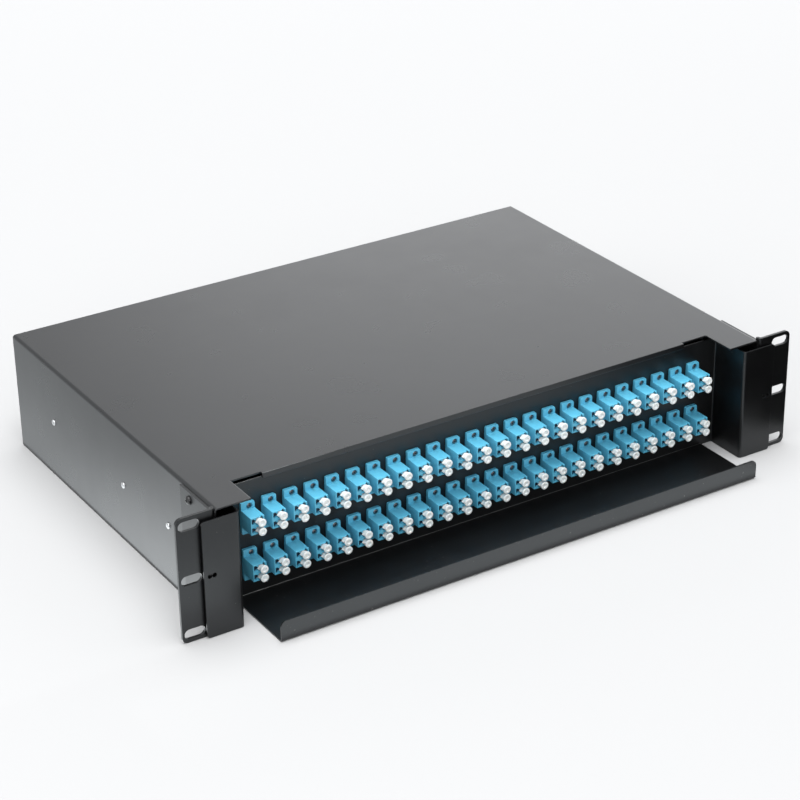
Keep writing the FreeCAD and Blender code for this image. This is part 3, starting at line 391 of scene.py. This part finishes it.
# CAD nodes that stay

def smooth_bends(node):
    """Smooth shading on the bends and sharp shading elsewhere."""
    for face in node.data.polygons:
        face.use_smooth = True
    split = node.modifiers.new("sharp_edges", "EDGE_SPLIT")
    split.split_angle = math.radians(25)


for name in ("housing_wrap", "base_pan", "rack_ear_left", "rack_ear_right", "front_panel", "cable_tray",
             "drawer_base"):
    smooth_bends(nodes[name])


# Heads of screws and rivets

def pan_head(spot, axis, radius, rise):
    """A pan head that stands on a face: straight rim, then a dome."""
    profile = [(0.0, 0.0), (radius, 0.0), (radius, 0.25 * rise)]
    for step in range(1, 6):
        angle = math.pi / 2 * step / 6
        profile.append((radius * math.cos(angle), rise * (0.25 + 0.75 * math.sin(angle))))
    profile.append((0.0, rise))
    head = bmesh.new()
    revolve(head, profile, spot, axis, HEAD_SIDES)
    return head


def cross_recess(spot, axis, radius, rise):
    """The tool of a cross recess in a pan head."""
    tool = bmesh.new()
    turn = turn_to(axis)
    top, low = 1.2 * rise, 0.35 * rise
    for across in ((0.52, 0.13), (0.13, 0.52)):
        x, y = radius * across[0], radius * across[1]
        corners = [(-x, -y, top), (x, -y, top), (x, y, top), (-x, y, top)]
        corners += [(0.4 * a, 0.4 * b, low) for a, b, c in corners]
        verts = [tool.verts.new(turn @ Vector(corner) + Vector(spot)) for corner in corners]
        for indices in ((0, 1, 2, 3), (7, 6, 5, 4), (0, 4, 5, 1), (1, 5, 6, 2), (2, 6, 7, 3), (3, 7, 4, 0)):
            tool.faces.new([verts[index] for index in indices])
    return tool


def cross_head(spot, axis, radius, rise):
    return boolean(pan_head(spot, axis, radius, rise), cross_recess(spot, axis, radius, rise))


def solid_boxes(name):
    """Lowest and highest corners of each separate solid in a CAD node."""
    mesh = bmesh.new()
    mesh.from_mesh(nodes[name].data)
    bmesh.ops.remove_doubles(mesh, verts=mesh.verts, dist=1e-6)
    seen, boxes = set(), []
    for start in mesh.verts:
        if start in seen:
            continue
        seen.add(start)
        stack, island = [start], []
        while stack:
            vert = stack.pop()
            island.append(vert.co)
            for edge in vert.link_edges:
                other = edge.other_vert(vert)
                if other not in seen:
                    seen.add(other)
                    stack.append(other)
        low = Vector([min(point[k] for point in island) for k in range(3)])
        high = Vector([max(point[k] for point in island) for k in range(3)])
        boxes.append((low, high))
    mesh.free()
    return sorted(boxes, key=lambda box: tuple(box[0]))


def side_heads(node_name, piece_name, material, body, shape, radius, rise, outward=1):
    """Heads on the sides of a body, in the place of a CAD node. Outward is -1 on the inner faces."""
    whole = bmesh.new()
    for low, high in solid_boxes(node_name):
        direction = outward if (low.x + high.x) > 0 else -outward
        top = high.x if direction > 0 else low.x
        spot = (top - direction * rise, (low.y + high.y) / 2, (low.z + high.z) / 2)
        head = shape(spot, (direction, 0, 0), radius, rise)
        join(whole, head)
        head.free()
    piece = moving_piece(piece_name, whole, material, body, 30)
    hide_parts(node_name)


# Adapters and dust caps

def port_tools(tools, step, nose, back, flange_front):
    """What is cut for one of the two ports: front opening with its keyway, rear opening, screw hole."""
    z = step * PORT_PITCH / 2
    opening = ((-1.2, -2.3), (3.9, -2.3), (3.9, 2.3), (-1.2, 2.3),
               (-1.2, 1.1), (-2.0, 1.2), (-2.4, 2.1), (-4.3, 2.1),
               (-4.3, -1.6), (-2.8, -2.1), (-2.0, -1.2), (-1.2, -1.1))
    prism(tools, [(x * MM, z + up * MM) for x, up in opening], nose - 1 * MM, 8 * MM)
    prism(tools, rounded_outline(2.3 * MM, 2.3 * MM, 0.2 * MM, 0.2 * MM, 1), back - 6 * MM, 8 * MM)
    hole = (SCREW_SHIFT, flange_front - 1 * MM, step * SCREW_REACH)
    revolve(tools, [(0, 0), (2.1 * MM, 0), (2.1 * MM, 2.2 * MM), (0, 2.2 * MM)], hole, (0, 1, 0), 24)


def adapter_shape(nose, back, flange_front, flange_height):
    """One duplex adapter, centred on X and Z at zero: body, flange, ports and keyways."""
    half = ADAPTER_WIDTH / 2
    top = ADAPTER_HEIGHT / 2
    shape = bmesh.new()
    rounded_block(shape, (-half, nose, -top), (half, back, top), 0.3 * MM, 3)
    flange = bmesh.new()
    prism(flange, rounded_outline(half, flange_height / 2, 1.4 * MM, 0.6 * MM), flange_front, FLANGE_DEPTH)
    edges = [edge for edge in flange.edges if abs((edge.verts[0].co - edge.verts[1].co).y) < 1e-9]
    bmesh.ops.bevel(flange, geom=edges, offset=0.2 * MM, segments=2, affect="EDGES", profile=0.5)
    shape = boolean(shape, flange, "UNION")
    tools = bmesh.new()
    for step in (-1, 1):
        port_tools(tools, step, nose, back, flange_front)
    rounded_block(tools, (2.1 * MM, nose - 1 * MM, top - 0.8 * MM), (3.3 * MM, nose + 1 * MM, top + 1 * MM))
    return boolean(shape, tools)


def drop_reach(angle, radius, point):
    """Distance from a circle's middle to its edge, or to the straight sides of a point on its left."""
    away = abs(angle - math.pi)
    side = math.acos(radius / point)
    return radius / math.cos(side - away) if away < side else radius


def cap_shape(base, front):
    """A white dust cap: a round head with a dimple, on a stem that is pointed towards the keyway."""
    rings = [
        (base + 5.0 * MM, 1.6 * MM, 0.9 * MM, None),
        (base + 0.2 * MM, 1.6 * MM, 0.9 * MM, None),
        (base - 0.1 * MM, 2.1 * MM, 1.0 * MM, 3.1 * MM),
        (base - 0.8 * MM, 2.2 * MM, 1.1 * MM, 3.0 * MM),
        (front + 1.3 * MM, 2.5 * MM, CAP_SHIFT, 2.8 * MM),
        (front + 0.9 * MM, 2.8 * MM, CAP_SHIFT, None),
        (front + 0.35 * MM, 2.8 * MM, CAP_SHIFT, None),
        (front + 0.1 * MM, 2.7 * MM, CAP_SHIFT, None),
        (front, 2.45 * MM, CAP_SHIFT, None),
        (front, 1.5 * MM, CAP_SHIFT, None),
        (front + 0.15 * MM, 1.35 * MM, CAP_SHIFT, None),
        (front + 0.7 * MM, 1.15 * MM, CAP_SHIFT, None),
    ]
    shape = bmesh.new()
    made = []
    for y, radius, across, point in rings:
        ring = []
        for number in range(CAP_SIDES):
            angle = 2 * math.pi * number / CAP_SIDES
            reach = drop_reach(angle, radius, point) if point else radius
            ring.append(shape.verts.new((across + reach * math.cos(angle), y, reach * math.sin(angle))))
        made.append(ring)
    for low, high in zip(made, made[1:]):
        for number in range(CAP_SIDES):
            after = (number + 1) % CAP_SIDES
            shape.faces.new([low[number], low[after], high[after], high[number]])
    shape.faces.new(made[0])
    shape.faces.new(list(reversed(made[-1])))
    return shape


def row_positions(low, high):
    first = low.x + ADAPTER_WIDTH / 2
    pitch = (high.x - low.x - ADAPTER_WIDTH) / (ADAPTERS - 1)
    return [first + number * pitch for number in range(ADAPTERS)]


def adapter_row(row):
    low, high = corners_of("adapters_" + row)
    cap_front = corners_of("dust_caps_" + row)[0].y
    panel_front = corners_of("front_panel")[1].y - SHEET
    flange_front = panel_front - FLANGE_DEPTH
    centre = (low.z + high.z) / 2
    shifts = [Vector((x, 0, centre)) for x in row_positions(low, high)]
    ports = [shift + Vector((0, 0, step * PORT_PITCH / 2)) for shift in shifts for step in (-1, 1)]
    holes = [shift + Vector((SCREW_SHIFT, 0, step * SCREW_REACH)) for shift in shifts for step in (-1, 1)]
    shape = adapter_shape(low.y, high.y, flange_front, high.z - low.z)
    bodies = moving_piece("adapter_row_" + row, copies(shape, shifts), aqua, "drawer", 30)
    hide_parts("adapters_" + row)
    # Dark floors in the ports, which the light doesn't reach
    floor = bmesh.new()
    for step in (-1, 1):
        z = step * PORT_PITCH / 2
        rounded_block(floor, (-4.3 * MM, low.y + 1.8 * MM, z - 2.6 * MM),
                      (4.2 * MM, low.y + 2.4 * MM, z + 2.6 * MM))
    moving_piece("port_wells_" + row, copies(floor, shifts), port_dark, "drawer")
    caps = copies(cap_shape(low.y, cap_front), ports)
    caps = moving_piece("dust_cap_row_" + row, caps, white_cap, "drawer", 40)
    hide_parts("dust_caps_" + row)
    rear = bmesh.new()
    rounded_block(rear, (-3.5 * MM, high.y - 3 * MM, -5.7 * MM), (3.5 * MM, high.y + 4 * MM, 5.7 * MM),
                  0.8 * MM, 3)
    moving_piece("rear_cap_row_" + row, copies(rear, shifts), white_cap, "drawer", 40)
    head = cross_head((0, flange_front + 1.2 * MM, 0), (0, -1, 0), 1.8 * MM, 1.1 * MM)
    moving_piece("flange_screws_" + row, copies(head, holes), screw_steel, "drawer", 30)


for row in ("upper", "lower"):
    adapter_row(row)


# Painted highlight lines along sheet edges

def painted_highlight_line(name, low, high, body, taper=1.0):
    """A painted highlight along the edge of a folded sheet: a thin light line, which can get thinner to the
    right.
    """
    builder = bmesh.new()
    low, high = Vector(low), Vector(high)
    rounded_block(builder, low, high, 0.1 * MM)
    middle = (low + high) / 2
    for vert in builder.verts:
        if vert.co.x > middle.x:
            vert.co.y = high.y + (vert.co.y - high.y) * taper
            vert.co.z = middle.z + (vert.co.z - middle.z) * taper
    moving_piece(name, builder, painted_edge_highlight, body)


def painted_highlight_lines():
    tray_low, tray_high = corners_of("cable_tray")
    panel_back_top = corners_of("front_panel")[1]
    cover_top = corners_of("housing_wrap")[1].z
    front = panel_back_top.y - SHEET
    foot = tray_low.z + SHEET
    top = panel_back_top.z
    # Painted highlights: light lines at the panel's foot, along the panel's top edge and along the cover's
    # brim bend.
    painted_highlight_line("panel_foot_edge", (tray_low.x, front - 0.3 * MM, foot), (tray_high.x, front, foot + 0.3 * MM),
              "drawer")
    painted_highlight_line("panel_top_edge", (-188 * MM, front, top), (188 * MM, front + SHEET, top + 0.25 * MM),
              "drawer")
    painted_highlight_line("cover_brim_edge", (-167 * MM, 24.95 * MM, cover_top - 0.3 * MM),
              (90 * MM, 25.3 * MM, cover_top), "housing", 0.3)


painted_highlight_lines()


# Screws and rivets of the sides

side_heads("slide_rivets", "slide_rivet_heads", nickel, "housing",
           pan_head, 2.2 * MM, 1.2 * MM)
side_heads("drawer_rivets", "drawer_rivet_heads", nickel, "drawer",
           pan_head, 2.5 * MM, 1.2 * MM, -1)
side_heads("ear_screws", "ear_screw_heads", black_steel, "housing",
           cross_head, 3.0 * MM, 2.0 * MM)


# Balls of the slides

def ball():
    """A ball with its poles up and down."""
    angles = [math.pi * step / BALL_BANDS for step in range(BALL_BANDS + 1)]
    profile = [(BALL_RADIUS * math.sin(angle), -BALL_RADIUS * math.cos(angle)) for angle in angles]
    builder = bmesh.new()
    revolve(builder, profile, (0, 0, 0), (0, 0, 1), BALL_SIDES)
    return builder


def race_balls(kind, side, sign):
    """Balls in one cage, between the flanges of two slide members."""
    low, high = corners_of("ball_cage_%s_%s" % (kind, side))
    across = (low.x + high.x) / 2 + sign * BALL_SHIFT
    shifts = []
    for number in range(BALLS):
        y = low.y + (number + 0.5) * (high.y - low.y) / BALLS
        shifts += [(across, y, z) for z in (low.z + BALL_SINK, high.z - BALL_SINK)]
    moving_piece("balls_%s_%s" % (kind, side), copies(ball(), shifts), nickel, "%s_cage_%s" % (kind, side),
                 60)


for side, sign in SIDES:
    for kind in ("outer", "inner"):
        race_balls(kind, side, sign)


# Stage, lights and camera

def combine(tree, operation, first, second):
    """A sum or product of two values, each a number or another node's output."""
    item = add(tree, "ShaderNodeMath", operation=operation)
    for socket, value in zip(item.inputs, (first, second)):
        if isinstance(value, float):
            socket.default_value = value
        else:
            tree.links.new(value, socket)
    return item.outputs["Value"]


def smooth_step(tree, source, low, high, first=0.0, last=1.0):
    """A value that goes smoothly from one number to another."""
    return map_range(tree, source, first, last, low, high, "SMOOTHSTEP")


def split_axes(tree, output):
    """X, Y and Z of a texture coordinate."""
    axes = add(tree, "ShaderNodeSeparateXYZ")
    tree.links.new(add(tree, "ShaderNodeTexCoord").outputs[output], axes.inputs["Vector"])
    return axes.outputs


def distance_along(tree, axes, x, y):
    """How far a point lies in a level direction."""
    return combine(tree, "ADD", combine(tree, "MULTIPLY", axes["X"], x),
                   combine(tree, "MULTIPLY", axes["Y"], y))


def area_light(name, spot, target, size, power, colour=(1, 1, 1)):
    data = bpy.data.lights.new(name, "AREA")
    data.shape = "RECTANGLE"
    data.size, data.size_y = size
    data.energy = power
    data.color = colour
    lamp = new_object(name, data)
    lamp.location = spot
    lamp.rotation_euler = (Vector(target) - Vector(spot)).to_track_quat("-Z", "Y").to_euler()


def flat_shape(corners, height):
    builder = bmesh.new()
    builder.faces.new([builder.verts.new((x, y, height)) for x, y in corners])
    return builder


def studio():
    """A pale floor, far wider than the picture, a little paler towards the back: painted light that makes up
    for the lamps reaching less far there.
    """
    paper = new_material("paper", PAPER_NEAR, 0.9, Specular_IOR_Level=0.1)
    tree = paper.node_tree
    away = distance_along(tree, split_axes(tree, "Object"), *AWAY)
    mix = colour_mix(tree, PAPER_NEAR, PAPER_FAR, map_range(tree, away, 0, 1, -0.35, 1.25))
    tree.links.new(mix.outputs["Result"], tree.nodes["Principled BSDF"].inputs["Base Color"])
    corners = [(x * FLOOR_REACH, y * FLOOR_REACH) for x, y in ((-1, -1), (1, -1), (1, 1), (-1, 1))]
    finished("floor", flat_shape(corners, cad_box[0][2]), paper)


def surroundings():
    """Pale surroundings, brightest overhead, with a bright wall at the back right."""
    world = bpy.data.worlds.new("surroundings")
    bpy.context.scene.world = world
    world.use_nodes = True
    tree = world.node_tree
    axes = split_axes(tree, "Generated")
    turn = math.radians(WALL_TURN)
    rightwards = distance_along(tree, axes, math.cos(turn), -math.sin(turn))
    wall = combine(tree, "MULTIPLY", smooth_step(tree, rightwards, -0.08, 0.05),
                   smooth_step(tree, axes["Y"], 0.3, 0.6))
    wall = combine(tree, "MULTIPLY", wall, smooth_step(tree, axes["Z"], 0.36, 0.47, 1.0, 0.0))
    overhead = smooth_step(tree, axes["Z"], 0.78, 0.97, SKY_LOW, SKY_LOW + SKY_TOP)
    total = combine(tree, "ADD", overhead, combine(tree, "MULTIPLY", wall, SKY_BACK))
    background = tree.nodes["Background"]
    background.inputs["Color"].default_value = SKY_COLOUR
    tree.links.new(total, background.inputs["Strength"])


def card(name, corners, along_x=None, along_y=None):
    """A flat card just above the floor that only glossy paint mirrors.

    Its glow changes smoothly along X and Y: from, to, first value, last value. Without them it is black.
    """
    made = bpy.data.materials.new(name)
    made.use_nodes = True
    tree = made.node_tree
    tree.nodes.clear()
    light = add(tree, "ShaderNodeEmission", Color=CARD_COLOUR, Strength=0.0)
    glow = None
    if along_y:
        axes = split_axes(tree, "Object")
        glow = smooth_step(tree, axes["Y"], *along_y)
    if along_x:
        glow = combine(tree, "MULTIPLY", smooth_step(tree, axes["X"], *along_x), glow)
    if glow:
        tree.links.new(glow, light.inputs["Strength"])
    output = add(tree, "ShaderNodeOutputMaterial")
    tree.links.new(light.outputs["Emission"], output.inputs["Surface"])
    piece = finished(name, flat_shape(corners, cad_box[0][2] + 1 * MM), made)
    for ray in ("camera", "diffuse", "transmission", "volume_scatter", "shadow"):
        setattr(piece, "visible_" + ray, False)


studio()
surroundings()
card("left_card", ((-0.70, 0.0), (-0.215, 0.0), (-0.215, 0.70), (-0.70, 0.70)),
     (-0.285, -0.225, 0.84, 1.32), (0.04, 0.30, 1.80, 0.92))
card("right_card", ((0.262, -0.01), (0.215, -0.06), (0.13, -0.16), (0.02, -0.29), (0.02, -0.9), (1.2, -0.9),
                    (1.2, -0.01)))
card("front_card", ((-0.30, -0.15), (0.12, -0.15), (0.20, -0.06), (0.20, -0.036), (-0.30, -0.036)),
     along_y=(-0.12, -0.05, 0.55, 1.60))
area_light("top_softbox", (-0.35, -0.55, 1.45), (0, 0.05, 0), (1.6, 1.3), TOP_POWER, (1.0, 0.99, 0.98))
area_light("front_softbox", (-0.75, -1.65, 1.0), (0, 0, 0), (1.4, 0.9), FRONT_POWER)
area_light("left_softbox", (-1.8, 0.0, 0.9), (-0.2, 0.15, 0), (1.1, 0.9), LEFT_POWER)

camera_data = bpy.data.cameras.new("camera")
camera_data.sensor_width = 36.0
camera_data.lens = LENS
camera_data.clip_end = 20.0
camera = new_object("camera", camera_data)
camera.location = CAMERA_SPOT
camera.rotation_euler = Euler([math.radians(angle) for angle in CAMERA_ANGLES])
bpy.context.scene.camera = camera
bpy.context.scene.view_settings.view_transform = "Standard"
